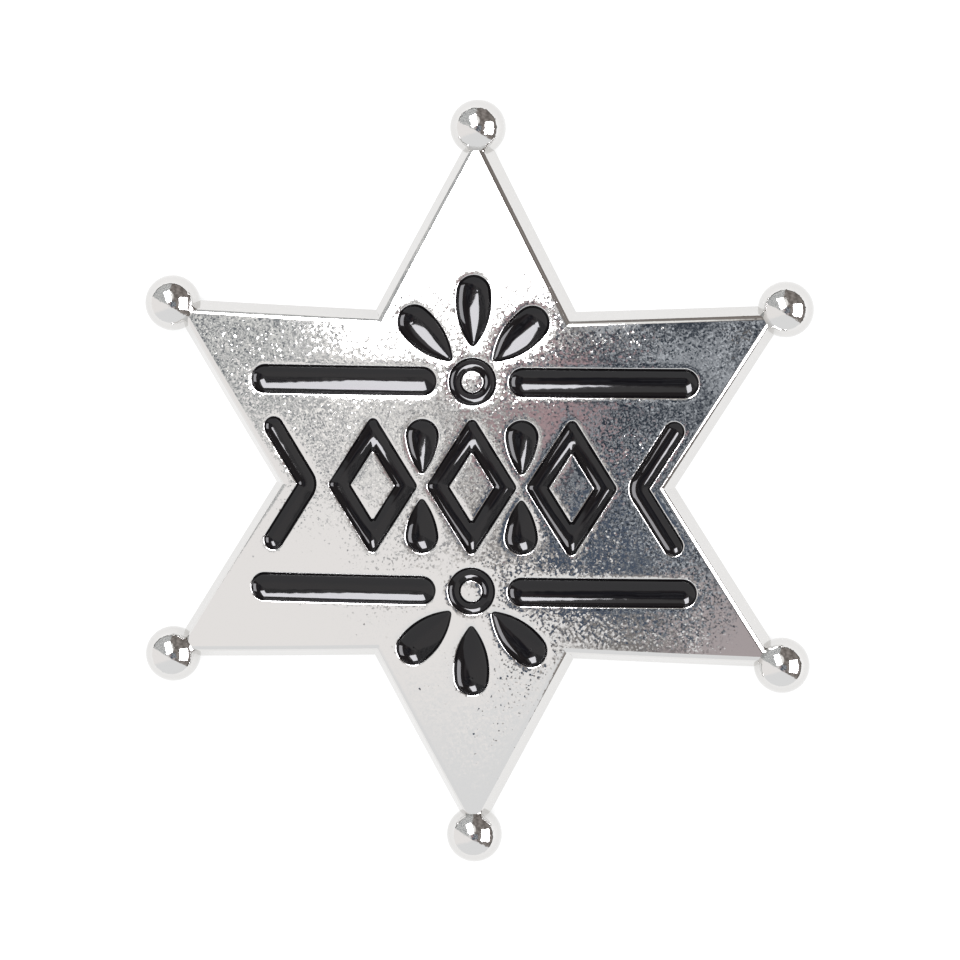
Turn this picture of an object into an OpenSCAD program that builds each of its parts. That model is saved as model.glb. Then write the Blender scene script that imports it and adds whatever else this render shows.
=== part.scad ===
// Six-point star badge with ball tips, in millimetres.
// A domed cast plate carries enamel in sunk wells on its face, and a plain
// brooch pin is fixed under its hollow back. +Z is up and out of the face,
// +Y points along the top arm, and the six balls stand on z = 0.

/* [Star plate] */
// Diameter of the circle through the centres of the six ball tips
tip_circle_d = 65; // [58:0.5:75]
// Diameter of the circle through the inner corners of the face
notch_circle_d = 34.8; // [32:0.2:38]
// How far the points of the face stop short of the ball centres
point_setback = 0.95; // [0:0.05:1.5]
// Thickness of the plate
plate_t = 2; // [1.6:0.1:2.6]
// Height of the middle of the face above its points
dome_rise = 2.8; // [2:0.1:4]
// How far the foot of the side wall stands out past the edge of the face
wall_draft = 0.8; // [0.2:0.1:1.2]

/* [Ball tips] */
// Diameter of each ball
ball_d = 5.1; // [4.4:0.1:6.4]
// Height of the points of the face above the ball centres
face_lift = 1.1; // [0.6:0.1:1.6]

/* [Enamel wells] */
// Depth of the wells below the face
well_depth = 0.8; // [0.5:0.1:1.1]
// How far the enamel lies below the face
enamel_sink = 0.1; // [0.05:0.05:0.2]
// Gap between the enamel and its well
enamel_gap = 0.03; // [0.02:0.01:0.06]

/* [Rings and bars] */
// Outer diameter of each ring
ring_d = 4.3; // [3.6:0.1:5]
// Diameter of the boss left standing inside a ring
boss_d = 2; // [1.4:0.1:2.6]
// Metal left between a ring and the ornament band
ring_gap = 1.3; // [0.8:0.1:1.6]
// Width of the four straight bars
bar_w = 2.6; // [1.8:0.1:3]
// Metal left between a ring and the bars beside it
bar_gap = 1.15; // [0.8:0.05:1.6]
// Metal left between the outer end of a bar and the edge of the face
bar_rim = 2.3; // [1.2:0.1:3]

/* [Petals] */
// Length of each petal
petal_l = 6.4; // [5:0.1:6.6]
// Radius of a petal's round end
petal_end_r = 1.55; // [1.2:0.05:1.6]
// Radius of a petal's pointed end
petal_tip_r = 0.3; // [0.15:0.05:0.5]
// Radius of a petal's long sides
petal_side_r = 6.5; // [5:0.5:12]
// Metal left between a ring and the points of its slanted petals
petal_gap = 0.6; // [0.5:0.05:0.8]
// Metal left between a ring and the point of its upright petal
upright_gap = 1.1; // [0.6:0.05:1.4]
// Angle between neighbouring petals
petal_turn = 45; // [42:1:50]

/* [Ornament band] */
// Height of the band of lozenges, drops and chevrons
band_h = 12.2; // [10:0.2:12.8]
// Width of the stroke that draws the lozenges
lozenge_stroke = 1.75; // [1.2:0.05:2.1]
// Radius of the outer corners of a lozenge
lozenge_corner_r = 0.5; // [0.2:0.05:0.8]
// Radius of the corners of the island in a lozenge
island_corner_r = 0.2; // [0.1:0.05:0.3]
// Metal left between neighbouring motifs along the middle line
motif_gap = 1; // [0.7:0.05:1.4]
// Width of the stroke that draws the chevrons
chevron_stroke = 1.8; // [1.2:0.05:2.1]
// Metal left between a chevron and the edge of the face
chevron_rim = 1.1; // [0.8:0.05:1.6]
// Length of the drops between the lozenges
drop_l = 4.9; // [4:0.1:5.1]
// Radius of a drop's round end
drop_end_r = 1.5; // [1:0.05:1.6]

/* [Brooch pin] */
// Length of the mounting strip
strip_l = 30; // [24:0.5:34]
// Width of the mounting strip
strip_w = 4.6; // [3.6:0.1:6]
// Thickness of the mounting strip
strip_t = 0.5; // [0.4:0.05:0.8]
// Gap between the strip and the back of the plate
strip_gap = 0.05; // [0.02:0.01:0.1]
// Height of the pin above the middle of the badge
pin_y = 5; // [2:0.5:6]
// Diameter of the pin wire
wire_d = 0.9; // [0.7:0.05:1.1]
// Length of the cone at the point of the wire
wire_point_l = 2.4; // [1.5:0.1:3.5]
// Outer diameter of the catch and of the hinge knuckle
catch_d = 2.4; // [2.1:0.1:2.7]
// Bore of the catch around the wire
catch_bore_d = 1.5; // [1.3:0.1:1.6]
// Length of the catch
catch_l = 3; // [2:0.1:4]
// Length of the hinge knuckle across the strip
knuckle_l = 3.8; // [3:0.1:4.4]
// Distance from each end of the strip to the middle of the knuckle and catch
fitting_inset = 2; // [1.8:0.1:2.6]
// Height of the catch and the knuckle above the surface the balls stand on
pin_clearance = 0.4; // [0.2:0.05:0.6]

/* [Hidden] */

// Number of sides drawn on the two dome spheres, on the balls and on small rounds
dome_fn = 240;
ball_fn = 64;
round_fn = 48;

// Pieces drawn along the arcs of the drops and lozenges
end_steps = 16;
side_steps = 6;
corner_steps = 4;

// Pieces that each edge of the side wall is drawn in, so that it follows the dome
wall_steps = 5;
// Share of its own height by which the wall runs past the two domes that trim it
wall_overrun = 0.6;

// Heights of the ball centres, of the points of the face and of its middle
ball_z = ball_d / 2;
point_z = ball_z + face_lift;
middle_z = point_z + dome_rise;
// Height of a cutter that clears the whole badge
clear_h = 2 * middle_z;

// The face and the back are parts of two spheres about one centre
tip_r = tip_circle_d / 2;
face_r = (tip_r * tip_r + dome_rise * dome_rise) / (2 * dome_rise);
back_r = face_r - plate_t;
dome_centre_z = middle_z - face_r;
// Spheres of the well floors and of the top of the enamel
floor_r = face_r - well_depth;
enamel_r = face_r - enamel_sink;

// Outline of the face: its points and its inner corners, seen from above
point_r = tip_r - point_setback;
notch_r = notch_circle_d / 2;
arm_turn = 60;
half_turn = arm_turn / 2;
// Angle between an arm's middle line and its edges
point_angle = atan2(notch_r * sin(half_turn), point_r - notch_r * cos(half_turn));
// Angle between an edge and the line from the middle of the badge to its inner corner
notch_angle = point_angle + half_turn;
// Outline of the foot of the side wall
foot_point_r = point_r + wall_draft / sin(point_angle);
foot_notch_r = notch_r + wall_draft / sin(notch_angle);

// The rings sit above and below the band, with the bars on the same line
ring_y = band_h / 2 + ring_gap + ring_d / 2;
bar_start = ring_d / 2 + bar_gap + bar_w / 2;
// Centre of a bar's outer end, bar_rim clear of the slanted edge beside the notch
bar_end = notch_r + (ring_y * cos(notch_angle) - bar_rim - bar_w / 2) / sin(notch_angle);

// The chevrons run parallel to the edges of the waist
chevron_x = notch_r - (chevron_rim + chevron_stroke / 2) / sin(notch_angle);
chevron_y = (band_h - chevron_stroke) / 2;
chevron_end_x = chevron_x + chevron_y / tan(notch_angle);
// Three lozenges fill the length between the chevrons
lozenge_w = (chevron_x - chevron_stroke / 2 - 2 * motif_gap) * 2 / 3;
lozenge_pitch = lozenge_w + motif_gap;

// Height of the pin wire above the surface the balls stand on
wire_z = pin_clearance + catch_d / 2;
knuckle_x = -strip_l / 2 + fitting_inset;
catch_x = -knuckle_x;
// The wire runs on past the catch to its point
wire_end_x = catch_x + catch_l / 2;

function on_circle(r, a) = [r * cos(a), r * sin(a)];
function mix(a, b, share) = a + (b - a) * share;
function dome_z(r, p) = dome_centre_z + sqrt(r * r - p[0] * p[0] - p[1] * p[1]);

// Corner k of a star outline: even corners are points of arms, odd ones are notches
function star_corner(k, outer_r, inner_r) =
    on_circle(k % 2 == 0 ? outer_r : inner_r, half_turn + k * half_turn);

// Points round a star outline, wall_steps of them along each straight edge
function star_ring(outer_r, inner_r) = [
    for (k = [0 : 11]) for (s = [0 : wall_steps - 1])
        mix(star_corner(k, outer_r, inner_r), star_corner(k + 1, outer_r, inner_r), s / wall_steps)
];

// Star with drafted side walls whose top and foot edges stay straight seen from above
module star_blank() {
    face = [for (p = star_ring(point_r, notch_r)) [p[0], p[1], dome_z(face_r, p)]];
    foot = [for (p = star_ring(foot_point_r, foot_notch_r)) [p[0], p[1], dome_z(back_r, p)]];
    n = len(face);
    top = [for (k = [0 : n - 1]) mix(foot[k], face[k], 1 + wall_overrun)];
    base = [for (k = [0 : n - 1]) mix(foot[k], face[k], -wall_overrun)];
    caps = [[0, 0, middle_z + 2 * plate_t], [0, 0, base[0][2]]];
    polyhedron(
        points = concat(top, base, caps),
        faces = [
            for (k = [0 : n - 1]) let (j = (k + 1) % n) each [
                [k, 2 * n, j],
                [n + j, 2 * n + 1, n + k],
                [k, j, n + j],
                [k, n + j, n + k]
            ]
        ],
        convexity = 6
    );
}

// Ball of radius r about the shared centre of the domes
module dome(r) {
    translate([0, 0, dome_centre_z]) sphere(r = r, $fn = dome_fn);
}

// A drawing made solid between two domes
module between_domes(outer_r, inner_r) {
    difference() {
        intersection() {
            linear_extrude(height = clear_h) children();
            dome(outer_r);
        }
        dome(inner_r);
    }
}

// Straight stroke of width w with round ends, drawn from p to q
module stroke(p, q, w) {
    d = q - p;
    translate(p) rotate(atan2(d[1], d[0])) {
        translate([0, -w / 2]) square([norm(d), w]);
        circle(d = w, $fn = round_fn);
        translate([norm(d), 0]) circle(d = w, $fn = round_fn);
    }
}

// Points along an arc about c, from one angle to another
function arc(c, r, from, to, steps) = [
    for (k = [0 : steps]) c + on_circle(r, mix(from, to, k / steps))
];

// Drop along +Y with its point at the origin: two long arcs of side_r touch a round end
// and a small round point, and every arc draws back by inset about its own centre
module drop(l, end_r, side_r, inset) {
    end_y = l - end_r;
    span = end_y - petal_tip_r;
    side_to_end = side_r - end_r;
    side_to_tip = side_r - petal_tip_r;
    side_y = petal_tip_r
        + (span * span + side_to_tip * side_to_tip - side_to_end * side_to_end) / (2 * span);
    side_x = sqrt(side_to_end * side_to_end - (side_y - end_y) * (side_y - end_y));
    // Directions in which the right side meets the round end and the point
    end_turn = atan2(end_y - side_y, side_x);
    tip_turn = atan2(side_y - petal_tip_r, side_x);
    polygon(concat(
        arc([0, end_y], end_r - inset, end_turn, 180 - end_turn, end_steps),
        arc([side_x, side_y], side_r - inset, 180 - end_turn, 180 + tip_turn, side_steps),
        arc([0, petal_tip_r], petal_tip_r - inset, 180 + tip_turn, 360 - tip_turn, corner_steps),
        arc([-side_x, side_y], side_r - inset, -tip_turn, end_turn, side_steps)
    ));
}

// Lozenge w wide and h high over corners rounded by corner_r, drawn with its edges moved
// inwards by inset and with corners of radius r
module lozenge_shape(w, h, corner_r, inset, r) {
    centre_x = w / 2 - corner_r;
    centre_y = h / 2 - corner_r;
    // Distance from the middle to a line through two corner centres
    reach = centre_x * centre_y / norm([centre_x, centre_y]);
    share = (reach + corner_r - inset - r) / reach;
    // Direction square to the upper right edge
    turn = atan2(centre_x, centre_y);
    polygon(concat(
        arc([centre_x * share, 0], r, -turn, turn, corner_steps),
        arc([0, centre_y * share], r, turn, 180 - turn, corner_steps),
        arc([-centre_x * share, 0], r, 180 - turn, 180 + turn, corner_steps),
        arc([0, -centre_y * share], r, 180 + turn, 360 - turn, corner_steps)
    ));
}

// The drawing itself, or its reflection in the middle line if lower is true
module upper_or_lower(lower) {
    if (lower) mirror([0, 1]) children();
    else children();
}

// Outlines of the enamel. inset draws each one back from the wall of its well.
// Bars 1 and 2 are the upper pair, 1 and 3 the left pair.
module bar_shape(k, inset) {
    side = k % 2 == 1 ? -1 : 1;
    y = k <= 2 ? ring_y : -ring_y;
    stroke([side * bar_start, y], [side * bar_end, y], bar_w - 2 * inset);
}

// Ring 1 is the upper one
module ring_shape(k, inset) {
    translate([0, k == 1 ? ring_y : -ring_y]) difference() {
        circle(d = ring_d - 2 * inset, $fn = round_fn);
        circle(d = boss_d + 2 * inset, $fn = round_fn);
    }
}

// Petals 1 to 3 fan out above the upper ring from the left, 4 to 6 below the lower one
module petal_shape(k, inset) {
    turn = ((k - 1) % 3 - 1) * petal_turn;
    gap = turn == 0 ? upright_gap : petal_gap;
    upper_or_lower(k > 3) translate([0, ring_y]) rotate(-turn) translate([0, ring_d / 2 + gap])
        drop(petal_l, petal_end_r, petal_side_r, inset);
}

// Lozenges 1 to 3 from the left, each with a metal island in its middle
module lozenge_ring_shape(k, inset) {
    translate([(k - 2) * lozenge_pitch, 0]) difference() {
        lozenge_shape(lozenge_w, band_h, lozenge_corner_r, inset, lozenge_corner_r - inset);
        lozenge_shape(lozenge_w, band_h, lozenge_corner_r, lozenge_stroke - inset, island_corner_r + inset);
    }
}

// Drops 1 and 2 are the upper pair, 1 and 3 the left pair; they point at the middle line
module drop_shape(k, inset) {
    side = k % 2 == 1 ? -1 : 1;
    upper_or_lower(k > 2) translate([side * lozenge_pitch / 2, band_h / 2 - drop_l])
        drop(drop_l, drop_end_r, petal_side_r, inset);
}

// Chevron 1 is the left one; each points at the middle of the badge
module chevron_shape(k, inset) {
    side = k == 1 ? -1 : 1;
    for (up = [-1, 1])
        stroke([side * chevron_x, 0], [side * chevron_end_x, up * chevron_y], chevron_stroke - 2 * inset);
}

// Every well outline at once, for the cutter
module all_wells() {
    for (k = [1 : 4]) bar_shape(k, 0);
    for (k = [1 : 2]) ring_shape(k, 0);
    for (k = [1 : 6]) petal_shape(k, 0);
    for (k = [1 : 3]) lozenge_ring_shape(k, 0);
    for (k = [1 : 4]) drop_shape(k, 0);
    for (k = [1 : 2]) chevron_shape(k, 0);
}

// Domed plate with hollow back, open wells and the six balls cast on
module star_plate() {
    color("silver") {
        difference() {
            intersection() {
                star_blank();
                dome(face_r);
            }
            dome(back_r);
            difference() {
                linear_extrude(height = clear_h) all_wells();
                dome(floor_r);
            }
        }
        for (k = [0 : 5])
            rotate(half_turn + k * arm_turn) translate([tip_r, 0, ball_z])
                sphere(d = ball_d, $fn = ball_fn);
    }
}

// One piece of enamel, lying in its well
module enamel() {
    color("black") between_domes(enamel_r, floor_r + enamel_gap) children();
}

// Mounting strip bent to the back, hinge knuckle, pin wire and catch, in one piece
module brooch_pin() {
    color("gainsboro") translate([0, pin_y, 0]) {
        translate([0, -pin_y, 0]) between_domes(back_r - strip_gap, back_r - strip_gap - strip_t)
            translate([0, pin_y])
                stroke([-(strip_l - strip_w) / 2, 0], [(strip_l - strip_w) / 2, 0], strip_w);
        // Hinge knuckle across the strip, on its leg
        translate([knuckle_x, knuckle_l / 2, wire_z]) rotate([90, 0, 0])
            cylinder(d = catch_d, h = knuckle_l, $fn = round_fn);
        pin_leg(knuckle_x, catch_d, knuckle_l, wire_z);
        // Catch rolled round the wire, on its leg
        translate([catch_x - catch_l / 2, 0, wire_z]) rotate([0, 90, 0]) difference() {
            cylinder(d = catch_d, h = catch_l, $fn = round_fn);
            translate([0, 0, -1]) cylinder(d = catch_bore_d, h = catch_l + 2, $fn = round_fn);
        }
        pin_leg(catch_x, catch_l, catch_d / 2, wire_z + (catch_d + catch_bore_d) / 4);
        // Wire from the knuckle through the catch, with its point
        translate([knuckle_x, 0, wire_z]) rotate([0, 90, 0]) {
            cylinder(d = wire_d, h = wire_end_x - knuckle_x, $fn = round_fn);
            translate([0, 0, wire_end_x - knuckle_x])
                cylinder(d1 = wire_d, d2 = wire_d / 4, h = wire_point_l, $fn = round_fn);
        }
    }
}

// Leg l long and w wide from height z up into the mounting strip
module pin_leg(x, l, w, z) {
    translate([0, -pin_y, 0]) intersection() {
        translate([x - l / 2, pin_y - w / 2, z]) cube([l, w, clear_h]);
        dome(back_r - strip_gap - strip_t / 2);
    }
}

star_plate();
for (k = [1 : 4]) enamel() bar_shape(k, enamel_gap);
for (k = [1 : 2]) enamel() ring_shape(k, enamel_gap);
for (k = [1 : 6]) enamel() petal_shape(k, enamel_gap);
for (k = [1 : 3]) enamel() lozenge_ring_shape(k, enamel_gap);
for (k = [1 : 4]) enamel() drop_shape(k, enamel_gap);
for (k = [1 : 2]) enamel() chevron_shape(k, enamel_gap);
brooch_pin();
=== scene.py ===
# %% [markdown]
# # A sheriff star badge in nickel-plated zinc and black enamel
# The real badge is die cast in zinc alloy, polished, nickel plated, and its sunk ornament is
# filled by hand with black enamel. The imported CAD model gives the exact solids. This lesson
# dresses them: edges get the roll that polishing leaves, the enamel gets the hollow surface of
# a liquid that climbed the walls of its well before it cured, and both get their materials.

# %% Frame
import math
import bpy
import numpy as np
from mathutils import Matrix, Vector
from mathutils.geometry import delaunay_2d_cdt


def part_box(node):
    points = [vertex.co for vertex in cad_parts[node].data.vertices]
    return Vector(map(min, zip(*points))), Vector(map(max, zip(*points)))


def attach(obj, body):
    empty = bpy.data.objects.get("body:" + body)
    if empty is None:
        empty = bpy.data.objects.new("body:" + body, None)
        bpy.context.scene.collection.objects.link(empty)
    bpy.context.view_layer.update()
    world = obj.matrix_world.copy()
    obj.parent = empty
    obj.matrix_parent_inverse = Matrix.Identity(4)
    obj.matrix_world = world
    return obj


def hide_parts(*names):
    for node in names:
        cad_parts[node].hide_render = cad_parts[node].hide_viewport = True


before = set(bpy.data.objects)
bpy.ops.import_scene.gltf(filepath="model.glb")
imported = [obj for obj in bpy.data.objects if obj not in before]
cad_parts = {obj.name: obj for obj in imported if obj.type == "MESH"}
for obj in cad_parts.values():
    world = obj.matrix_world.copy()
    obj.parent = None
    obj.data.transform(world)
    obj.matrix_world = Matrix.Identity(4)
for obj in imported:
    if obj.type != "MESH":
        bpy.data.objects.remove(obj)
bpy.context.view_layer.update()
MM = 0.001

# %% [markdown]
# ## Sizes
# The construction sizes are the ones of the CAD source, in millimetres. A few more belong to
# the looks alone: how far polishing rolled the edges over, and how deep the enamel dips. The
# badge is a dome so flat that its whole face turns by only twenty degrees, which is why a
# single softbox can fill an entire arm with white.

# %% Sizes in millimetres
tip_r, point_setback, notch_r = 32.5, 0.95, 17.4
plate_t, dome_rise, wall_draft = 2.0, 2.8, 0.8
ball_r, face_lift = 2.55, 1.1
well_depth = 0.8
ring_r, boss_r, ring_gap = 2.15, 1.0, 1.3
bar_w, bar_gap, bar_rim = 2.6, 1.15, 2.3
petal_l, petal_end_r, tip_round, side_r = 6.4, 1.55, 0.3, 6.5
petal_gap, upright_gap, petal_turn = 0.6, 1.1, 45
band_h, motif_gap, lozenge_stroke, lozenge_round, island_round = 12.2, 1.0, 1.75, 0.5, 0.2
chevron_stroke, chevron_rim, elbow_r = 1.8, 1.1, 1.0
drop_l, drop_end_r = 4.9, 1.5

# Polished edges: the outer edge of the face, the rims of the wells, and the foot of the wall
edge_roll, rim_r, foot_r = 0.42, 0.13, 0.06
shoulder_drop, shoulder_reach = 0.024, 0.16
# Enamel: where it meets the wall, how steeply, over what length its climb dies away, and how
# much a well of half width wide_half sank as it cured
contact_depth, wall_slope, climb = 0.11, 1.4, 0.27
sink, wide_half = 0.22, 1.5
# How far the enamel's own wall runs down and into the metal, out of sight, and how far its
# underside stays above the floor of the well
tuck_down, tuck_in, under_gap = 0.02, 0.025, 0.01
# Finish of the metal: 1 is the peel and grain of the polished face, 0 a clean mirror, and -1
# the satin of the mould. The edges and the balls are buffed longest, so they are near a mirror.
face_finish, edge_finish, ball_finish, back_finish = 1.0, 0.3, 0.45, -1.0

point_z = ball_r + face_lift
face_r = (tip_r ** 2 + dome_rise ** 2) / (2 * dome_rise)
back_r = face_r - plate_t
centre_z = point_z + dome_rise - face_r
point_r = tip_r - point_setback
point_angle = math.atan2(notch_r / 2, point_r - notch_r * math.cos(math.radians(30)))
notch_angle = point_angle + math.radians(30)
wall_tilt = math.atan2(plate_t, wall_draft)
ring_y = band_h / 2 + ring_gap + ring_r
print("dome radius", round(face_r, 1), "mm, wall tilt", round(math.degrees(wall_tilt)), "degrees")

# %% [markdown]
# ## The dome and its normals
# A mirror shows every fault in its normals, so the face doesn't rely on the ones that Blender
# averages from flat triangles. Each point gets the normal that its formula gives, and the
# triangles in between only interpolate. `Shell` collects points, normals and triangles from
# grids, turns each triangle to face the way its normals point, and welds points that coincide,
# so the finished mesh is closed.


# %% Dome and shell
def dome_z(r, p):
    """Height of the sphere of radius r about the shared centre, above the plan points p."""
    return centre_z + np.sqrt(r * r - (p ** 2).sum(-1))


def at_depth(p, depth):
    """Points of the plate below plan points p: the face at depth 0, the back at plate_t."""
    face, back = dome_z(face_r, p), dome_z(back_r, p)
    return np.concatenate([p, (face + (back - face) * depth / plate_t)[..., None]], -1)


def tilted(p, across, turn):
    """Normals leaning by angle turn towards the plan directions across, on top of the dome's own
    slope: the dome's normal times cos(turn), plus across times sin(turn), scaled to length 1."""
    slope = p / (dome_z(face_r, p) - centre_z)[..., None]
    flat = slope * np.cos(turn)[..., None] + across * np.sin(turn)[..., None]
    n = np.concatenate([flat, np.cos(turn)[..., None]], -1)
    return n / np.linalg.norm(n, axis=-1, keepdims=True)


class Shell:
    """Points, normals, a finish value and triangles of one piece, in millimetres."""

    def __init__(self):
        self.parts, self.count = [], 0

    def add(self, points, normals, triangles, finish=face_finish):
        """Adds points, their normals and triangles. A triangle is reversed where the cross
        product of its edges points against the sum of its normals."""
        points, normals = points.reshape(-1, 3), normals.reshape(-1, 3)
        a, b, c = (points[triangles[:, i]] for i in range(3))
        facing = (np.cross(b - a, c - a) * normals[triangles].sum(1)).sum(1)
        triangles = np.where(facing[:, None] < 0, triangles[:, ::-1], triangles)
        finishes = np.broadcast_to(finish, len(points))
        self.parts.append((points, normals, finishes, triangles + self.count))
        self.count += len(points)

    def grid(self, points, normals, closed, finish=face_finish):
        """Two triangles for each cell of a grid of points, whose second axis may close on
        itself."""
        rows, columns = points.shape[:2]
        i = np.arange(rows * columns).reshape(rows, columns)
        i = np.concatenate([i, i[:, :1]], 1) if closed else i
        a, b, c, d = (x.ravel() for x in (i[:-1, :-1], i[1:, :-1], i[1:, 1:], i[:-1, 1:]))
        cells = np.concatenate([np.column_stack((a, b, c)), np.column_stack((a, c, d))])
        finish = np.broadcast_to(finish, points.shape[:2]).ravel()
        self.add(points, normals, cells, finish)

    def build(self, name, material, own_normals):
        """Welds points that coincide to a tenth of a micrometre and makes the mesh object. With
        own_normals the formulas' normals are kept, or else Blender averages the triangles'."""
        points, normals, finish, triangles = (np.concatenate(x) for x in zip(*self.parts))
        _, first, same = np.unique(
            np.round(points, 4), axis=0, return_index=True, return_inverse=True)
        same = same.ravel()
        summed = np.zeros((len(first), 3))
        np.add.at(summed, same, normals)
        normals = summed / np.maximum(np.linalg.norm(summed, axis=1, keepdims=True), 1e-9)
        triangles = same[triangles]
        distinct = (triangles != np.roll(triangles, 1, 1)).all(1)
        triangles = triangles[distinct]
        mesh = bpy.data.meshes.new(name)
        mesh.from_pydata(points[first] * MM, [], triangles)
        finishes = mesh.attributes.new("finish", "FLOAT", "POINT")
        finishes.data.foreach_set("value", finish[first])
        mesh.shade_smooth()
        if own_normals:
            mesh.normals_split_custom_set_from_vertices(normals)
        mesh.materials.append(material)
        piece = bpy.data.objects.new(name, mesh)
        bpy.context.scene.collection.objects.link(piece)
        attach(piece, "root")
        return piece


# %% [markdown]
# ## Outlines of the wells
# Every well is described by pairs of loops: the edge of the enamel, and for each edge point the
# foot it belongs to on the middle line of the shape. A bar or a chevron is a stroke round a
# spine, a petal has its feet on its axis, and a ring has a circle between its two edges. With
# such pairs, the enamel is a plain function of two parameters: along the edge, and from the
# foot to the edge.

# %% Loops and strokes
step = 0.14                 # distance between neighbouring points of an outline
finest_turn = 12            # most degrees between neighbouring points of an arc


def steps(length):
    """Number of pieces that divide a length evenly, near the sampling step."""
    return max(2, int(math.ceil(length / step)))


def line(a, b):
    """Evenly spaced points from a towards b, with b left out."""
    share = np.arange(steps(math.dist(a, b)))[:, None] / steps(math.dist(a, b))
    return np.asarray(a) + (np.asarray(b) - a) * share


def arc(centre, r, start, end):
    """Points of an arc: the centre plus r times cos and sin of angles from start to end degrees."""
    turn = abs(end - start)
    pieces = max(4, steps(r * math.radians(turn)), int(turn / finest_turn))
    a = np.radians(np.linspace(start, end, pieces + 1))
    return np.asarray(centre) + r * np.column_stack((np.cos(a), np.sin(a)))


def stroke(spine, half):
    """A stroke of half width half: the spine moved sideways both ways, with a half circle round
    each end. Returns the edge and the foot of each of its points."""
    along = np.gradient(spine, axis=0)
    along /= np.linalg.norm(along, axis=1, keepdims=True)
    side = np.column_stack((along[:, 1], -along[:, 0]))
    turn = np.linspace(0, np.pi, max(8, steps(np.pi * half)) + 1)[1:-1, None]
    end = spine[-1] + half * (np.cos(turn) * side[-1] + np.sin(turn) * along[-1])
    start = spine[0] - half * (np.cos(turn) * side[0] + np.sin(turn) * along[0])
    edge = np.concatenate((spine + half * side, end, (spine - half * side)[::-1], start))
    end_feet, start_feet = spine[-1:].repeat(len(end), 0), spine[:1].repeat(len(start), 0)
    feet = np.concatenate((spine, end_feet, spine[::-1], start_feet))
    return [(edge, feet)]


def between(outer, inner):
    """A closed band between two loops of matched points, with its feet half-way."""
    middle = (outer + inner) / 2
    return [(outer, middle), (inner, middle)]


# %% Bars, rings, petals and drops
def bar(side, y):
    """Straight stroke at height y, from bar_gap beside the ring to bar_rim short of the slanted
    edge of the face."""
    start = ring_r + bar_gap + bar_w / 2
    end = notch_r + (abs(y) * math.cos(notch_angle) - bar_rim - bar_w / 2) / math.sin(notch_angle)
    spine = np.concatenate((line((side * start, y), (side * end, y)), [(side * end, y)]))
    return stroke(spine, bar_w / 2)


def ring(y):
    """Circle of radius ring_r, and the same circle shrunk to boss_r about its centre."""
    outer = arc((0, y), ring_r, 0, 360)[:-1]
    inner = (outer - (0, y)) * boss_r / ring_r + (0, y)
    return between(outer, inner)


def drop(length, end_r):
    """Drop along +Y with its point at the origin: a small round point and a round end, joined by
    two arcs of side_r that touch both. Its feet lie on the axis between the two round centres."""
    end_y = length - end_r
    span, to_end, to_tip = end_y - tip_round, side_r - end_r, side_r - tip_round
    side_y = tip_round + (span ** 2 + to_tip ** 2 - to_end ** 2) / (2 * span)
    side_x = math.sqrt(to_end ** 2 - (side_y - end_y) ** 2)
    end_turn = math.degrees(math.atan2(end_y - side_y, side_x))
    tip_turn = math.degrees(math.atan2(side_y - tip_round, side_x))
    right = np.concatenate((
        arc((0, tip_round), tip_round, -90, -tip_turn)[:-1],
        arc((-side_x, side_y), side_r, -tip_turn, end_turn)[:-1],
        arc((0, end_y), end_r, end_turn, 90)))
    right[[0, -1], 0] = 0
    edge = np.concatenate((right, (right * (-1, 1))[-2:0:-1]))
    feet = np.column_stack((np.zeros(len(edge)), np.clip(edge[:, 1], tip_round, end_y)))
    return [(edge, feet)]


def placed(pairs, turn, shift, lower):
    """Pairs turned clockwise by turn degrees, shifted, and reflected downwards if lower."""
    a = math.radians(-turn)
    spin = np.array(((math.cos(a), math.sin(a)), (-math.sin(a), math.cos(a))))
    flip = np.array((1, -1 if lower else 1))
    return [tuple((loop @ spin + shift) * flip for loop in pair) for pair in pairs]


def petal(fan, lower):
    """Drop whose point stands off the ring, turned about the ring's centre by fan times
    petal_turn."""
    gap = petal_gap if fan else upright_gap
    leaf = [tuple(loop + (0, ring_r + gap) for loop in pair) for pair in drop(petal_l, petal_end_r)]
    return placed(leaf, fan * petal_turn, (0, ring_y), lower)


# %% Lozenges and chevrons
chevron_x = notch_r - (chevron_rim + chevron_stroke / 2) / math.sin(notch_angle)
chevron_y = (band_h - chevron_stroke) / 2
lozenge_w = (chevron_x - chevron_stroke / 2 - 2 * motif_gap) * 2 / 3
pitch = lozenge_w + motif_gap


def lozenge_loop(inset, r):
    """Lozenge with every edge moved inwards by inset and corners of radius r: four arcs whose
    centres lie on the axes, in the same share of the distance to the outer corner centres."""
    x, y = lozenge_w / 2 - lozenge_round, band_h / 2 - lozenge_round
    reach = x * y / math.hypot(x, y)
    share = (reach + lozenge_round - inset - r) / reach
    turn = math.degrees(math.atan2(x, y))
    corners = (((x * share, 0), -turn, turn), ((0, y * share), turn, 180 - turn),
               ((-x * share, 0), 180 - turn, 180 + turn), ((0, -y * share), 180 + turn, 360 - turn))
    count = steps(math.hypot(x, y))
    loop = []
    for k, (centre, start, end) in enumerate(corners):
        a = np.radians(np.linspace(start, end, 9))
        bend = np.asarray(centre) + r * np.column_stack((np.cos(a), np.sin(a)))
        after, begin = corners[(k + 1) % 4][0], math.radians(corners[(k + 1) % 4][1])
        goal = np.asarray(after) + r * np.array((math.cos(begin), math.sin(begin)))
        share_along = np.arange(1, count)[:, None] / count
        loop += [bend, bend[-1] + (goal - bend[-1]) * share_along]
    return np.concatenate(loop)


def lozenge(k):
    """Band between the outer lozenge and the one that lies lozenge_stroke further in."""
    outer = lozenge_loop(0, lozenge_round)
    inner = lozenge_loop(lozenge_stroke, island_round)
    return between(outer + (k * pitch, 0), inner + (k * pitch, 0))


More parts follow.
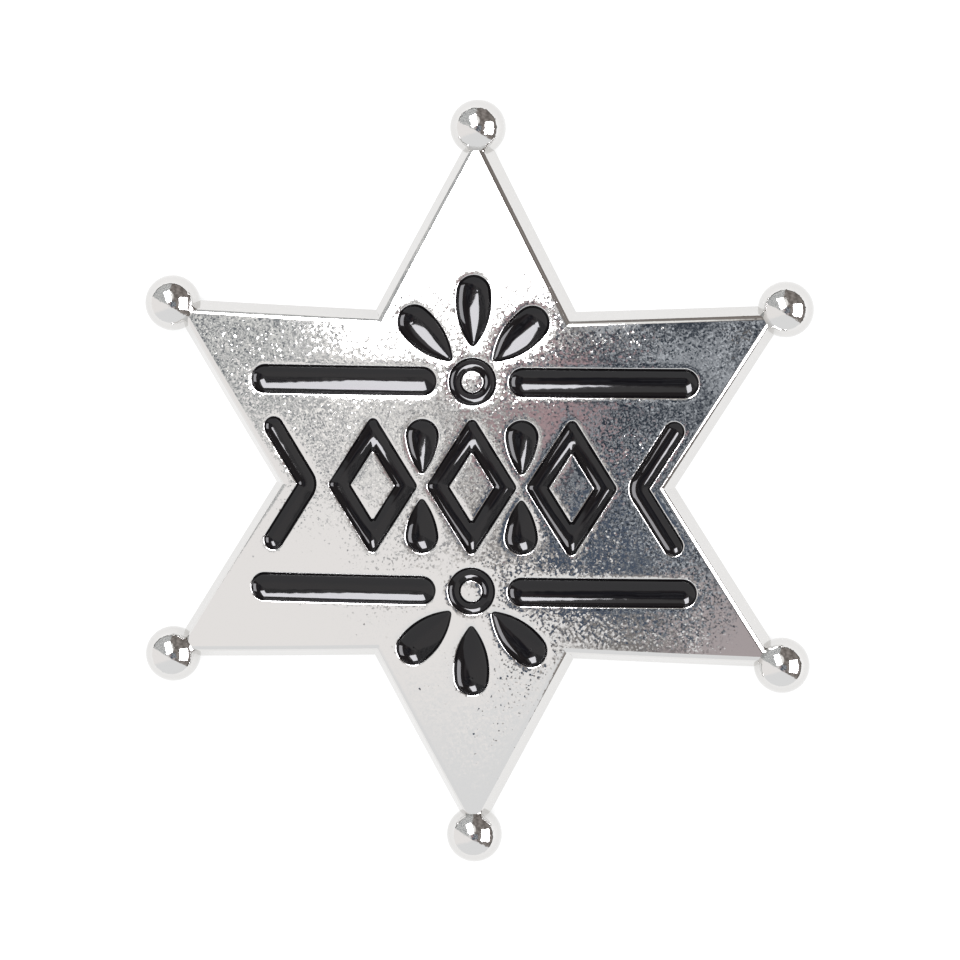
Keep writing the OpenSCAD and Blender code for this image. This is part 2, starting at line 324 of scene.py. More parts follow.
def chevron(side):
    """Two straight arms that meet in an elbow of radius elbow_r, as one stroke along its spine."""
    lean = math.atan2(chevron_y, chevron_y / math.tan(notch_angle))
    bend_x = chevron_x + elbow_r / math.sin(lean)
    end_x = chevron_x + chevron_y / math.tan(notch_angle)
    bend = arc((bend_x, 0), elbow_r, math.degrees(lean) + 90, 270 - math.degrees(lean))
    lower = line(bend[-1], (end_x, -chevron_y))
    spine = np.concatenate((bend[:-1], lower, [(end_x, -chevron_y)]))
    spine = np.concatenate(((spine[len(bend):] * (1, -1))[::-1], bend[:1], spine[1:]))
    return stroke(spine * (side, 1), chevron_stroke / 2)


# %% All wells, checked against the CAD nodes
wells = {}
for k, (side, y) in enumerate(((-1, ring_y), (1, ring_y), (-1, -ring_y), (1, -ring_y)), 1):
    wells[f"bar_{k}"] = bar(side, y)
    shift = (side * pitch / 2, band_h / 2 - drop_l)
    wells[f"drop_{k}"] = placed(drop(drop_l, drop_end_r), 0, shift, k > 2)
for k in (1, 2):
    wells[f"ring_{k}"] = ring(ring_y if k == 1 else -ring_y)
    wells[f"chevron_{k}"] = chevron(-1 if k == 1 else 1)
for k in range(6):
    wells[f"petal_{k + 1}"] = petal(k % 3 - 1, k > 2)
for k in range(3):
    wells[f"lozenge_{k + 1}"] = lozenge(k - 1)
for name, pairs in sorted(wells.items()):
    low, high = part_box(name)
    every = np.concatenate([edge for edge, feet in pairs])
    corners = (every.min(0), low), (every.max(0), high)
    off = max(abs(mine - np.array(cad[:2]) / MM).max() for mine, cad in corners)
    print(name, "outline is within", round(off, 3), "mm of its CAD node")


# %% [markdown]
# ## The cast star
# Polishing rolls the metal over towards every edge. In section, each well has a soft shoulder
# that falls away by hundredths of a millimetre, a tight round rim, and a wall that leans out a
# little so that the casting leaves its mould. The rim and the wall are one profile carried
# round each outline. The face between the rims is a triangulation of grid points, lifted to the
# dome and lowered by the shoulder near each rim.

# %% Rim profile
wall_lean = math.radians(76)
roll_start = math.atan2(shoulder_drop, shoulder_reach)
rim_reach = rim_r * (math.sin(wall_lean) - math.sin(roll_start))
rim_depth = shoulder_drop + rim_r * (math.cos(roll_start) - math.cos(wall_lean))
rim_rows = 7                # stations round the quarter turn of a rim


def metal_side(edge, feet):
    """Unit directions across an edge, away from the enamel: the tangent turned a quarter, on the
    side that leads away from the feet."""
    along = np.roll(edge, -1, 0) - np.roll(edge, 1, 0)
    side = np.column_stack((along[:, 1], -along[:, 0]))
    side *= np.sign((side * (edge - feet)).sum(1, keepdims=True))
    return side / np.linalg.norm(side, axis=1, keepdims=True)


def wall_offset(depth):
    """How far the leaning wall stands towards the enamel at a depth below the rim's end."""
    return -(depth - rim_depth) / math.tan(wall_lean)


rims = [(edge, metal_side(edge, feet)) for pairs in wells.values() for edge, feet in pairs]
rim_loops = [edge + side * rim_reach for edge, side in rims]
floor_loops = [edge + side * wall_offset(well_depth) for edge, side in rims]
star = Shell()
turns = np.linspace(roll_start, wall_lean, rim_rows)[:, None]
for edge, side in rims:
    reach = rim_r * (math.sin(wall_lean) - np.sin(turns))
    depth = shoulder_drop + rim_r * (math.cos(roll_start) - np.cos(turns))
    reach = np.concatenate((reach, [[wall_offset(well_depth)]]))[..., None]
    depth = np.concatenate((depth, [[well_depth]]))
    lean = np.concatenate((turns, [[wall_lean]])) * np.ones(len(edge))
    p = edge + side * reach
    star.grid(at_depth(p, depth), tilted(p, -side * np.ones_like(p), lean), True)
print("rims and walls:", star.count, "points; a rim is", round(rim_reach, 3), "mm wide")


# %% Outline of the star
# Shares of an edge's length at which it is sampled: closely at both ends, evenly between them
near_start, even_shares, near_end = (0, 0.006, 0.015), np.linspace(0.03, 0.97, 32), (0.985, 0.994)


def star_loop(out):
    """Outline of the star moved outwards by out. Every edge is sampled closely next to its
    corners, where the plan direction across the edge turns. Returns points and directions."""
    share = np.concatenate((near_start, even_shares, near_end))[:, None]
    k = np.arange(13)
    radius = np.where(k % 2, notch_r + out / math.sin(notch_angle),
                      point_r + out / math.sin(point_angle))
    angle = np.radians(30 + 30 * k)
    corners = radius[:, None] * np.column_stack((np.cos(angle), np.sin(angle)))
    points, across = [], []
    for a, b in zip(corners[:-1], corners[1:]):
        along = (b - a) / math.dist(a, b)
        points.append(a + (b - a) * share)
        across.append(np.array((along[1], -along[0])) * np.ones_like(points[-1]))
    points, across = np.concatenate(points), np.concatenate(across)
    corner = np.arange(12) * len(share)
    across[corner] = across[corner] + across[corner - 1]
    return points, across / np.linalg.norm(across, axis=1, keepdims=True)


# Rounded edge of the face, drafted wall and rounded foot, as (out, depth, lean) of each station
edge_r = edge_roll / math.tan(wall_tilt / 2)
foot_out = wall_draft - foot_r * (1 + math.cos(wall_tilt)) / math.sin(wall_tilt)
edge_rows, wall_depths, foot_rows = 9, (0.8, 1.2, 1.6), 8
section = [(-edge_roll + edge_r * math.sin(a), edge_r * (1 - math.cos(a)), a)
           for a in np.linspace(0, wall_tilt, edge_rows)]
section += [(wall_draft * depth / plate_t, depth, wall_tilt) for depth in wall_depths]
section += [(foot_out + foot_r * math.sin(a), plate_t - foot_r - foot_r * math.cos(a), a)
            for a in np.linspace(wall_tilt, math.pi, foot_rows)]
loops = [star_loop(out) for out, depth, lean in section]
p = np.stack([points for points, across in loops])
across = np.stack([across for points, across in loops])
depth = np.array([depth for out, depth, lean in section])[:, None]
lean = np.array([lean for out, depth, lean in section])[:, None] * np.ones(p.shape[1])
star.grid(at_depth(p, depth), tilted(p, across, lean), True, edge_finish)
print("outer edge rounded by", round(edge_r, 2), "mm, foot at", round(foot_out, 2), "mm")


# %% [markdown]
# ## Filling the face
# `delaunay_2d_cdt` joins scattered plan points into triangles without crossing the given loops.
# A triangle belongs to the metal if a line from its middle crosses an odd number of loops. The
# fine grid near the wells catches the shoulder, and the coarse one is enough on the open dome.


# %% Triangulated areas
def crossings(points, loop):
    """How many times a ray along +X from each point crosses a closed loop."""
    x, y = points[:, :1], points[:, 1:]
    (ax, ay), (bx, by) = loop.T, np.roll(loop, -1, 0).T
    spans = (ay > y) != (by > y)
    rise = np.where(by == ay, 1, by - ay)
    return (spans & (x < ax + (y - ay) * (bx - ax) / rise)).sum(1)


def inside(points, loops):
    """True where the loops round a point are odd in number. Only points within reach of a loop's
    own strip of heights are tested against it."""
    total = np.zeros(len(points), int)
    for loop in loops:
        near = (points[:, 1] > loop[:, 1].min()) & (points[:, 1] < loop[:, 1].max())
        near &= points[:, 0] < loop[:, 0].max()
        total[near] += crossings(points[near], loop)
    return total % 2 == 1


def filled(loops, extra):
    """Points and triangles that fill the area between loops, with extra points inside it."""
    points = np.concatenate(loops + [extra])
    ends = np.cumsum([len(loop) for loop in loops])
    after = np.arange(1, ends[-1] + 1)
    after[ends - 1] = np.concatenate(([0], ends[:-1]))
    edges = np.column_stack((np.arange(ends[-1]), after))
    made = delaunay_2d_cdt([Vector(p) for p in points], edges.tolist(), [], 0, 1e-6)
    plan, cells = np.array([v[:] for v in made[0]]), np.array(made[2])
    source = np.array([origin[0] if origin else -1 for origin in made[3]])
    plan[source >= 0] = points[source[source >= 0]]
    return plan, cells[inside(plan[cells].mean(1), loops)]


def lattice(gap):
    """Points over the whole badge in rows of equilateral triangles of side gap."""
    y, x = np.mgrid[-tip_r:tip_r:gap * math.sqrt(0.75), -tip_r:tip_r:gap]
    x = x + (np.arange(len(x))[:, None] % 2) * gap / 2
    return np.column_stack((x.ravel(), y.ravel()))


# %% Nearest rim
rim_points = np.concatenate(rim_loops)
rim_before = np.concatenate([np.roll(loop, 1, 0) for loop in rim_loops])
rim_next = np.concatenate([np.roll(loop, -1, 0) for loop in rim_loops])
at_once = 1500              # points measured in one go, to keep the table of distances small


def nearest_rim(points):
    """Distance to the closest rim and the plan direction away from it. Each point is projected on
    the two line pieces that meet at the closest sample."""
    foot = np.empty_like(points)
    for chunk in np.array_split(np.arange(len(points)), max(1, len(points) // at_once)):
        p = points[chunk]
        i = ((p[:, None] - rim_points) ** 2).sum(2).argmin(1)
        choices = []
        for a, b in ((rim_before[i], rim_points[i]), (rim_points[i], rim_next[i])):
            t = ((p - a) * (b - a)).sum(1) / ((b - a) ** 2).sum(1)
            choices.append(a + (b - a) * np.clip(t, 0, 1)[:, None])
        gap = [np.linalg.norm(p - c, axis=1) for c in choices]
        foot[chunk] = np.where((gap[0] < gap[1])[:, None], choices[0], choices[1])
    away = points - foot
    distance = np.linalg.norm(away, axis=1)
    return distance, away / np.maximum(distance, 1e-9)[:, None]


def off_edge(points, gap):
    """True for points more than gap inside the start of the rounded edge of the face."""
    return inside(points, [star_loop(-edge_roll - gap)[0]])


# %% Face
# Sides of the two triangle grids and of the back's, how near the fine one comes to a rim, how
# far it reaches, and how near each comes to the rounded edge
fine_side, coarse_side, back_side = 0.26, 0.9, 1.5
fine_start, fine_end = 0.14, 1.1
fine_to_edge, coarse_to_edge, back_to_edge = 0.2, 0.5, 0.6
face_loops = rim_loops + [star_loop(-edge_roll)[0]]
fine, coarse = lattice(fine_side), lattice(coarse_side)
reach, _ = nearest_rim(fine)
fine = fine[(reach > fine_start) & (reach < fine_end) & off_edge(fine, fine_to_edge)]
fine = fine[inside(fine, face_loops)]
reach, _ = nearest_rim(coarse)
coarse = coarse[(reach > fine_end) & off_edge(coarse, coarse_to_edge)]
coarse = coarse[inside(coarse, face_loops)]
plan, cells = filled(face_loops, np.concatenate((fine, coarse)))
distance, away = nearest_rim(plan)
# The shoulder's depth dies away exponentially from each rim. It is left out at the star's own
# edge, so that the face meets the rounded edge exactly. On a rim, no direction leads away.
edge_band, rim_band, rim_touch = 0.05, 0.01, 1e-3
fall = shoulder_drop * np.exp(-distance / shoulder_reach)
fall[~off_edge(plan, edge_band) & (distance > rim_band)] = 0
on_rim = distance < rim_touch
direction = np.where(on_rim[:, None], 0, away)
normals = tilted(plan, -direction, np.arctan(fall / shoulder_reach))
star.add(at_depth(plan, fall), normals, cells)
print("face:", len(plan), "points,", len(cells), "triangles")

# %% Floors of the wells, and the back
plan, cells = filled(floor_loops, np.empty((0, 2)))
star.add(at_depth(plan, well_depth), tilted(plan, plan * 0, plan[:, 0] * 0), cells)
back_loop = star_loop(foot_out)[0]
inner = lattice(back_side)
inner = inner[inside(inner, [star_loop(foot_out - back_to_edge)[0]])]
plan, cells = filled([back_loop], inner)
star.add(at_depth(plan, plate_t), -tilted(plan, plan * 0, plan[:, 0] * 0), cells, back_finish)
print("back:", len(plan), "points,", len(cells), "triangles")


# %% Balls
def ball(angle):
    """Sphere as a grid of 48 by 96 cells, height angle by turn, with its poles up and down."""
    v, u = np.mgrid[0:math.pi:49j, 0:2 * math.pi:97j]
    n = np.stack((np.sin(v) * np.cos(u), np.sin(v) * np.sin(u), np.cos(v)), -1)
    centre = np.array((tip_r * math.cos(angle), tip_r * math.sin(angle), ball_r))
    return centre + ball_r * n[:, :-1], n[:, :-1]


for k in range(6):
    star.grid(*ball(math.radians(30 + 60 * k)), True, ball_finish)
print("star:", star.count, "points before welding")

# %% [markdown]
# ## Materials
# Everything is procedural and measured in real millimetres. Relief is added up as one height in
# metres and turned into a normal by a single bump node, so its size can be compared with what a
# fingernail would feel. Polished nickel has hardly a colour of its own to show, only what the
# room gives it.


# %% Node helper
def srgb(code):
    """Linear RGBA of an sRGB hex code."""
    c = np.array([int(code[i:i + 2], 16) / 255 for i in (1, 3, 5)])
    return (*np.where(c < 0.04045, c / 12.92, ((c + 0.055) / 1.055) ** 2.4).tolist(), 1.0)


def put(tree, kind, inputs, **settings):
    """Adds one node. Settings are its own properties, and inputs maps socket names or numbers to
    a value or to the output of another node. Returns the node."""
    node = tree.nodes.new("ShaderNode" + kind)
    for key, value in settings.items():
        setattr(node, key, value)
    for key, value in inputs.items():
        if isinstance(value, bpy.types.NodeSocket):
            tree.links.new(value, node.inputs[key])
        else:
            node.inputs[key].default_value = value
    return node


def material(name):
    """A new material with its node tree, the surface shader, and object coordinates."""
    made = bpy.data.materials.new(name)
    made.use_nodes = True
    tree = made.node_tree
    place = put(tree, "TexCoord", {}).outputs["Object"]
    return made, tree, tree.nodes["Principled BSDF"], place


def blotches(tree, place, scale, detail, spread, values):
    """Smooth noise: where it goes through the two numbers of spread, the result goes from the
    first to the second of values."""
    lumps = put(tree, "TexNoise", {"Vector": place, "Scale": scale, "Detail": detail})
    ends = {"Value": lumps.outputs["Fac"], "From Min": spread[0], "From Max": spread[1],
            "To Min": values[0], "To Max": values[1]}
    return put(tree, "MapRange", ends).outputs["Result"]


def relief(tree, place, layers, height=0.0):
    """Height in metres: the height so far, plus smooth noise times share times tall for each
    layer, which gives the size of its lumps and how tall they are in mm, their detail and the
    share in which it shows."""
    for size, detail, tall, share in layers:
        lumps = put(tree, "TexNoise", {"Vector": place, "Scale": 1 / (size * MM), "Detail": detail})
        lumps = put(tree, "Math", {0: lumps.outputs["Fac"], 1: share}, operation="MULTIPLY")
        terms = {0: lumps.outputs[0], 1: tall * MM, 2: height}
        height = put(tree, "Math", terms, operation="MULTIPLY_ADD").outputs[0]
    return height


# %% [markdown]
# ## Nickel on cast zinc
# Bright plate follows every fault of the metal under it. Buffing leaves orange peel in the soft
# zinc, and where the skin of the casting is polished away, its grains show as tiny facets, each
# tilted a little its own way. They break the mirrored room into speckle, in patches, while the
# rolled edges and the balls stay near a mirror. Bump alone gives smooth waves, which look like
# hair, so the grains are real facets here: each Voronoi cell turns the normal by one constant
# tilt. The back is plated as it left the mould, so it is satin.

# %% Nickel-plated zinc: colour, finish and patches
zinc, tree, shader, place = material("nickel-plated zinc, cast and polished")
shader.inputs["Base Color"].default_value = srgb("#d5d4d2")
shader.inputs["Metallic"].default_value = 1.0
finish = put(tree, "Attribute", {}, attribute_name="finish").outputs["Fac"]
peel = put(tree, "Math", {0: finish, 1: 0.0}, operation="MAXIMUM").outputs[0]
cast = put(tree, "Math", {0: finish, 1: -1.0}, operation="MULTIPLY", use_clamp=True).outputs[0]
patch = blotches(tree, place, 1 / (7.0 * MM), 2.0, (0.4, 0.65), (0.3, 1.0))
open_grain = put(tree, "Math", {0: peel, 1: patch}, operation="MULTIPLY").outputs[0]

# %% Nickel-plated zinc: relief
# Pits of about 0.1 mm lie 0.45 mm apart, deepest in the patches
pits = put(tree, "TexVoronoi", {"Vector": place, "Scale": 1 / (0.45 * MM)}).outputs["Distance"]
pits = put(tree, "MapRange", {"Value": pits, "From Min": 0.06, "From Max": 0.2},
           interpolation_type="SMOOTHSTEP").outputs["Result"]
for times in (patch, 0.004 * MM):
    pits = put(tree, "Math", {0: pits, 1: times}, operation="MULTIPLY").outputs[0]
height = relief(tree, place, (
    (3.5, 0.0, 0.008, 1.0),             # waves left by the polishing wheel
    (0.6, 1.0, 0.006, peel),            # broad orange peel
    (0.35, 0.0, 0.009, open_grain),     # fine orange peel, in patches
    (0.5, 3.0, 0.03, cast)), pits)      # skin of the mould, on the back

# %% Nickel-plated zinc: grain
# The grains are 0.17 mm across. Each leans by up to 0.04 one way or the other, and a quarter of
# them by up to two and a half times as much, which gives the sparkle.
grain = put(tree, "TexVoronoi", {"Vector": place, "Scale": 1 / (0.17 * MM)}).outputs["Color"]
steep = put(tree, "SeparateXYZ", {"Vector": grain}).outputs["Z"]
steep = put(tree, "MapRange", {"Value": steep, "From Min": 0.75, "From Max": 1.0,
                               "To Min": 0.08, "To Max": 0.2}).outputs["Result"]
steep = put(tree, "Math", {0: steep, 1: open_grain}, operation="MULTIPLY").outputs[0]
tilt = put(tree, "VectorMath", {0: grain, 1: (0.5, 0.5, 0.5)}, operation="SUBTRACT").outputs[0]
tilt = put(tree, "VectorMath", {0: tilt, "Scale": steep}, operation="SCALE").outputs[0]
plain_normal = put(tree, "NewGeometry", {}).outputs["Normal"]
tilt = put(tree, "VectorMath", {0: plain_normal, 1: tilt}, operation="ADD").outputs[0]
tilt = put(tree, "VectorMath", {0: tilt}, operation="NORMALIZE").outputs[0]
bump = put(tree, "Bump", {"Height": height, "Distance": 1.0, "Normal": tilt})
tree.links.new(bump.outputs["Normal"], shader.inputs["Normal"])
haze = blotches(tree, place, 1 / (1.2 * MM), 3.0, (0.3, 0.8), (0.04, 0.075))
roughness = put(tree, "Math", {0: cast, 1: 0.25, 2: haze}, operation="MULTIPLY_ADD").outputs[0]
tree.links.new(roughness, shader.inputs["Roughness"])
print("zinc:", len(tree.nodes), "nodes")

# %% Black soft enamel, dripped in and baked
# Baked resin is smoother than the metal round it. It mirrors only about three hundredths of the
# light straight on, so softboxes draw narrow streaks in it and the rest stays near black.
enamel_black, tree, shader, place = material("black soft enamel, dripped in and baked")
shader.inputs["Base Color"].default_value = srgb("#070607")
shader.inputs["IOR"].default_value = 1.42
shader.inputs["Roughness"].default_value = 0.06
height = relief(tree, place, ((1.6, 1.0, 0.02, 1.0),))
bump = put(tree, "Bump", {"Height": height, "Distance": 1.0})
tree.links.new(bump.outputs["Normal"], shader.inputs["Normal"])
print("enamel:", len(tree.nodes), "nodes")

# %% Nickel-plated steel, stamped and drawn
# The pin is bought in by the thousand and tumbled bright, so it is a little duller than the star
# and carries faint lines along the direction in which its wire was drawn. Real lines of that
# kind are a few hundredths of a millimetre apart. These are 0.12 mm, as coarse as they need to
# be to show.
steel, tree, shader, place = material("nickel-plated steel, stamped and drawn")
shader.inputs["Base Color"].default_value = srgb("#d8d7d5")
shader.inputs["Metallic"].default_value = 1.0
drawn = put(tree, "Mapping", {"Vector": place, "Scale": (0.04, 1.0, 1.0)}).outputs[0]
height = relief(tree, drawn, ((0.12, 2.0, 0.004, 1.0),))
height = relief(tree, place, ((0.4, 0.0, 0.004, 1.0),), height)
bump = put(tree, "Bump", {"Height": height, "Distance": 1.0})
tree.links.new(bump.outputs["Normal"], shader.inputs["Normal"])
haze = blotches(tree, place, 1 / (0.8 * MM), 3.0, (0.3, 0.8), (0.14, 0.26))
tree.links.new(haze, shader.inputs["Roughness"])
print("steel:", len(tree.nodes), "nodes")

# %% [markdown]
# ## Enamel
# Liquid enamel wets nickel, so it climbs the walls of its well, and it sinks in the middle as
# it cures. The climb dies away with distance from the wall like a stretched chain: in section
# the surface is a hyperbolic cosine. The sinking adds a shallow bowl, which grows with the
# square of the width, so narrow wells end up as gutters and wide ones as dishes. That is why
# each bar shows its softbox as one long streak.


# %% Enamel surfaces
# Shares of the way from foot to edge at which the surface is sampled, closer near the wall
surface_rows = np.concatenate((np.linspace(0, 0.6, 5), np.linspace(0.68, 1.0, 9)))[:, None]


def enamel_depth(share, half, contact, slope):
    """Depth of the surface at a share of the way from foot to wall, for a well of half width
    half: the contact depth, plus slope climb (cosh(half / climb) - cosh(share half / climb))
    / sinh(half / climb) for the climb, plus sink (half / wide_half)^2 (1 - share^2) for the
    bowl."""
    rise = np.cosh(half / climb) - np.cosh(share * half / climb)
    bowl = sink * (half / wide_half) ** 2 * (1 - share ** 2)
    return contact + slope * climb * rise / np.sinh(half / climb) + bowl


def enamel(name, pairs, contact, slope):
    """One piece of enamel: for every edge point a row over the surface, from its foot to just
    inside the metal, then down the wall and back under to the foot."""
    shell = Shell()
    for edge, feet in pairs:
        side = metal_side(edge, feet)
        half = np.linalg.norm(edge - feet, axis=1)
        surface = enamel_depth(surface_rows, half, contact, slope)
        tucked = surface[-1:] - tuck_down
        under = np.full((2, len(edge)), well_depth - under_gap)
        tucked_edge = edge + side * tuck_in
        p = feet + (edge - feet) * surface_rows[..., None]
        p = np.concatenate((p, [tucked_edge] * 2, [feet]))
        points = at_depth(p, np.concatenate((surface, tucked, under)))
        up = np.concatenate((np.ones(len(surface_rows) + 1), (-0.5, -1)))[:, None, None]
        direction = np.concatenate((p * 0, np.broadcast_to(up, (*p.shape[:2], 1))), -1)
        direction[-3:-1, :, :2] = side
        shell.grid(points, direction, True)
    return shell.build(name, enamel_black, False)


# %% Star, enamel and pin
badge = star.build("star", zinc, True)
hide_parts("star_plate")
print("star:", len(badge.data.vertices), "points,", len(badge.data.polygons), "triangles")
chance = np.random.default_rng(7)
for name, pairs in wells.items():
    contact = contact_depth * chance.uniform(0.95, 1.2)
    slope = wall_slope * chance.uniform(0.92, 1.05)
    piece = enamel(f"enamel_{name}", pairs, contact, slope)
    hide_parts(name)
print(len(wells), "pieces of enamel")

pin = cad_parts["brooch_pin"]
pin.data.materials.clear()
pin.data.materials.append(steel)
print("pin:", len(pin.data.polygons), "triangles, slot nickel_plated_steel")

# %% [markdown]
# ## Floor
# The badge lies on a sheet of white paper that is lit from below, as on a light table, so the
# softboxes throw no shadow on it. Close under the badge, where the metal covers nearly the whole
# half sphere above the paper, a shadow is painted in: ambient occlusion turns the paper's glow
# down. That painted shadow shows from the side, not from above.

# %% Floor
paper, tree, shader, place = material("seamless paper")
shader.inputs["Base Color"].default_value = srgb("#404040")
shader.inputs["Roughness"].default_value = 0.9
shader.inputs["Emission Color"].default_value = srgb("#ffffff")
# Painted contact shadow: where ambient occlusion is low, under the badge, the paper's glow is
# turned down from 0.95 to 0.25
open_share = put(tree, "AmbientOcclusion", {"Distance": 6 * MM}, samples=16).outputs["AO"]
glow_with_painted_shade = put(tree, "MapRange", {"Value": open_share, "From Min": 0.05, "From Max": 0.45,
                              "To Min": 0.25, "To Max": 0.95}).outputs["Result"]
tree.links.new(glow_with_painted_shade, shader.inputs["Emission Strength"])
height = relief(tree, place, ((0.6, 2.0, 0.03, 1.0),))
bump = put(tree, "Bump", {"Height": height, "Distance": 1.0})
tree.links.new(bump.outputs["Normal"], shader.inputs["Normal"])
half_side = 1.5             # metres
sheet = bpy.data.meshes.new("floor")
corners = [(x * half_side, y * half_side, 0) for x, y in ((-1, -1), (1, -1), (1, 1), (-1, 1))]
sheet.from_pydata(corners, [], [(0, 1, 2, 3)])
sheet.materials.append(paper)
floor = bpy.data.objects.new("floor", sheet)
bpy.context.scene.collection.objects.link(floor)
print("floor is", 2 * half_side, "m wide")

# %% [markdown]
# ## Camera
# The photograph was taken from almost straight above, a few degrees towards the right and the
# top of the badge. The camera axes are built from those two tilts and a roll of a third of a
# degree.

# %% Camera
tilt_x, tilt_y, roll = (math.radians(a) for a in (6.2, 5.2, 0.3))
aim_right, aim_up = 0.348 * MM, 0.293 * MM
toward = Vector((math.sin(tilt_x), math.sin(tilt_y), 0))
toward.z = math.sqrt(1 - toward.length_squared)
right = Vector((0, 1, 0)).cross(toward).normalized()
up = toward.cross(right)
right, up = (right * math.cos(roll) + up * math.sin(roll),
             up * math.cos(roll) - right * math.sin(roll))
distance = 402 * MM
aim = Vector((0, 0, ball_r * MM)) + right * aim_right + up * aim_up
lens = bpy.data.cameras.new("camera")
lens.sensor_width, lens.lens = 36, 164.53       # millimetres
camera = bpy.data.objects.new("camera", lens)
turned = Matrix((right, up, toward)).transposed().to_4x4()
camera.matrix_world = Matrix.Translation(aim + toward * distance) @ turned
bpy.context.scene.collection.objects.link(camera)
bpy.context.scene.camera = camera
print("camera is", round(distance * 1000), "mm away")

# %% [markdown]
# ## The studio as a mirror ball sees it
# Each ball tip is a small picture of the whole studio. Its round image gives the direction of
# every lamp: a spot at (x, y) of the ball's image, with the ball's radius as 1, mirrors the
# direction twice as far from the camera as the ball's normal there. The same two numbers place
# the two softboxes, and paint the rest of the room in the world shader.


# %% Softboxes
def mirrored(x, y):
    """Direction that the point (x, y) of the ball's image mirrors towards the camera."""
    z = math.sqrt(1 - x * x - y * y)
    return right * (2 * z * x) + up * (2 * z * y) + toward * (2 * z * z - 1)


def softbox(name, low, high, turn, distance, radiance, colour):
    """Area light that fills the rectangle from low to high on the ball's image, turned clockwise
    about its middle by turn degrees."""
    middle = [(a + b) / 2 for a, b in zip(low, high)]
    centre = mirrored(*middle)
    wide = (mirrored(high[0], middle[1]) - mirrored(low[0], middle[1])).length * distance
    tall = (mirrored(middle[0], high[1]) - mirrored(middle[0], low[1])).length * distance
    side = (mirrored(high[0], middle[1]) - mirrored(low[0], middle[1])).normalized()
    lamp = bpy.data.lights.new(name, "AREA")
    lamp.shape, lamp.size, lamp.size_y = "RECTANGLE", wide, tall
    lamp.energy = radiance * math.pi * wide * tall
    lamp.color = srgb(colour)[:3]
    box = bpy.data.objects.new(name, lamp)
    upward = centre.cross(side).normalized()
    axes = Matrix((upward.cross(centre), upward, centre)).transposed().to_4x4()
    spin = Matrix.Rotation(math.radians(-turn), 4, "Z")
    box.matrix_world = Matrix.Translation(centre * distance) @ axes @ spin
    box.visible_camera = False
    bpy.context.scene.collection.objects.link(box)
    print(name, "is", round(wide, 2), "by", round(tall, 2), "m")


softbox("softbox upper left", low=(-0.257, 0.0), high=(-0.067, 0.42), turn=-20, distance=1.1,
        radiance=23, colour="#f7f6fb")
softbox("softbox right", low=(0.25, -0.28), high=(0.57, 0.2), turn=0, distance=1.1,
        radiance=10, colour="#f7f6fb")

# %% Room
world = bpy.data.worlds.new("studio")
world.use_nodes = True
bpy.context.scene.world = world
tree = world.node_tree
sky = tree.nodes["Background"]
look = put(tree, "TexCoord", {}).outputs["Generated"]
a, b, c = (put(tree, "VectorMath", {0: look, 1: axis}, operation="DOT_PRODUCT").outputs["Value"]
           for axis in (right, up, toward))
# The way back from a direction to the ball's image: x = a / sqrt(2 c + 2), and y the same with
# b. The 2.002 keeps the root above zero behind the ball.
depth = put(tree, "Math", {0: c, 1: 2.0, 2: 2.002}, operation="MULTIPLY_ADD").outputs[0]
depth = put(tree, "Math", {0: depth}, operation="SQRT").outputs[0]
x, y = (put(tree, "Math", {0: v, 1: depth}, operation="DIVIDE").outputs[0] for v in (a, b))
on_ball = put(tree, "CombineXYZ", {"X": x, "Y": y}).outputs[0]


def seen(colour):
    """The light that looks like this colour in the plating, which mirrors two thirds of it."""
    return tuple(1.5 * v for v in srgb(colour)[:3]) + (1.0,)


def painted(under, layers):
    """Colour with layers painted over it. Each layer is a share from 0 to 1 and a colour, and
    the result is (1 - share) times the colour so far plus share times the new one."""
    for share, colour in layers:
        mix = put(tree, "Mix", {"Factor": share, "A": under, "B": colour}, data_type="RGBA")
        under = mix.outputs["Result"]
    return under


def slanted(across, up, start, end):
    """Share that goes smoothly from 0 to 1 where across x + up y goes from start to end."""
    value = put(tree, "VectorMath", {0: on_ball, 1: (across, up, 0)}, operation="DOT_PRODUCT")
    ends = {"Value": value.outputs["Value"], "From Min": start, "From Max": end}
    return put(tree, "MapRange", ends, interpolation_type="SMOOTHSTEP").outputs["Result"]


def spot(middle, inner, outer):
    """Share that falls smoothly from 1 to 0 between two distances from a middle."""
    away = put(tree, "VectorMath", {0: on_ball, 1: (*middle, 0)}, operation="DISTANCE")
    ends = {"Value": away.outputs["Value"], "From Min": outer, "From Max": inner}
    return put(tree, "MapRange", ends, interpolation_type="SMOOTHSTEP").outputs["Result"]


def clutter(scale, low, high):
    """Blotches from 0 to 1 over the ball's image."""
    return blotches(tree, on_ball, scale, 3.0, (low, high), (0.0, 1.0))


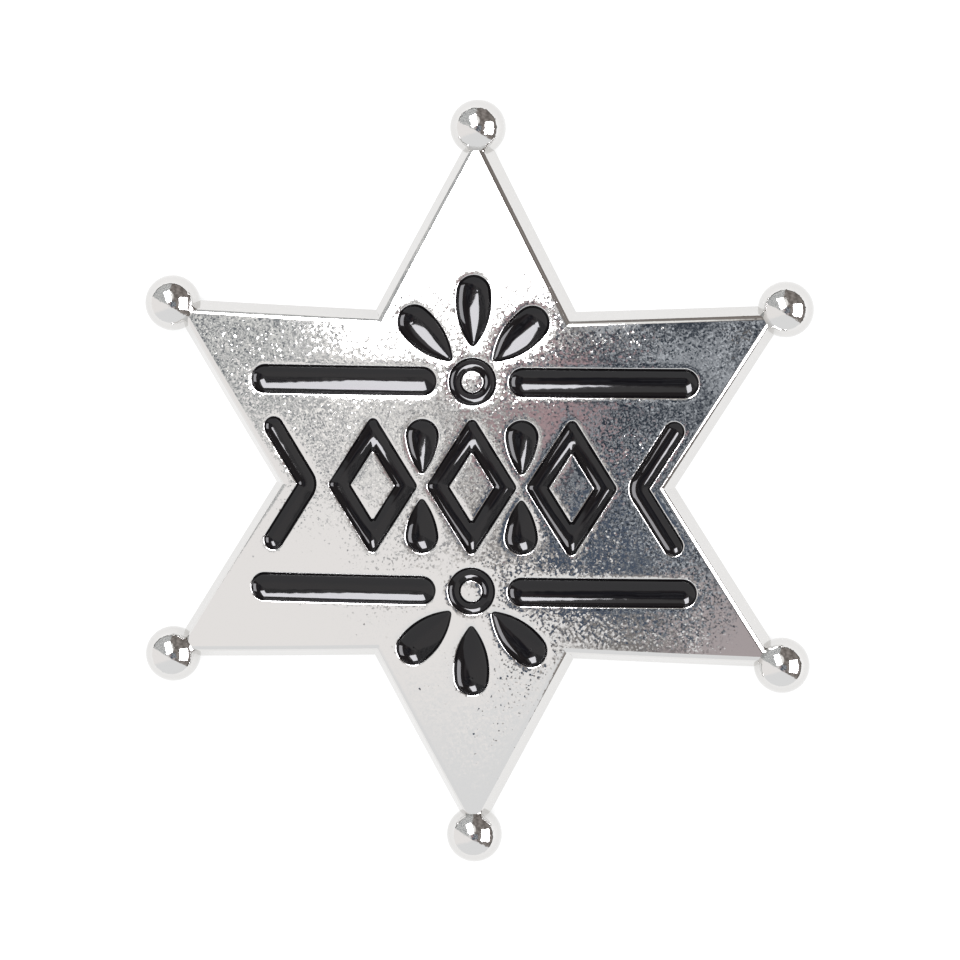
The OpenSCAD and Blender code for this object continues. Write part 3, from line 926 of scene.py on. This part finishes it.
# %% Room: ceiling, walls and what stands in front of them
pale = painted(seen("#6b6f76"), [(clutter(50.0, 0.38, 0.6), seen("#f6f4f2"))])
left_wall = painted(seen("#3f4853"), [(clutter(60.0, 0.4, 0.62), seen("#efefed"))])
dark = painted(seen("#2a313b"), [(clutter(32.0, 0.44, 0.68), seen("#bcc1c8"))])
room = painted(seen("#635e5b"), [
    (clutter(7.0, 0.4, 0.65), seen("#8d8784")),
    (slanted(-1, 0, 0.05, 0.16), pale),
    (spot((-0.17, 0.2), 0.19, 0.245), seen("#e4e3e2")),
    (slanted(-1, 0.25, 0.17, 0.23), left_wall),
    (spot((0.03, -0.07), 0.09, 0.13), dark),
    (spot((-0.07, -0.04), 0.01, 0.045), seen("#9f888c")),
    (spot((-0.04, -0.135), 0.015, 0.045), seen("#444e5e")),
    (spot((0.05, -0.19), 0.02, 0.06), seen("#a39b9d"))])
print("room:", len(tree.nodes), "nodes so far")

# %% Room: dark foot of the walls, white card, and pale floor
# The card lies low in front of the badge, with a piece left out where a dark thing stands. The
# pale floor is what the underside of the badge mirrors.
height = put(tree, "SeparateXYZ", {"Vector": look}).outputs["Z"]
wall_foot, below, straight_down = (
    put(tree, "MapRange", {"Value": height, "From Min": start, "From Max": end}).outputs["Result"]
    for start, end in ((0.08, 0.03), (-0.02, -0.06), (-0.1, -0.9)))
card = painted(seen("#e2e0e0"), [(slanted(0.3, -1, 0.13, 0.25), seen("#d6d7d9"))])
card_left = put(tree, "Math", {0: 1.0, 1: spot((0.02, -0.1), 0.087, 0.125)}, operation="SUBTRACT")
card_share = put(tree, "Math", {0: slanted(-0.57, -1, 0.183, 0.21), 1: card_left.outputs[0]},
                 operation="MULTIPLY").outputs[0]
pale_floor = painted(seen("#8f8d8b"), [(straight_down, seen("#e3e2e0"))])
camera_ray = put(tree, "LightPath", {}).outputs["Is Camera Ray"]
room = painted(room, [(wall_foot, seen("#3a3836")), (card_share, card), (below, pale_floor),
                      (camera_ray, srgb("#f6f6f6"))])
tree.links.new(room, sky.inputs["Color"])
bpy.context.scene.view_settings.view_transform = "Standard"
print("room:", len(tree.nodes), "nodes")
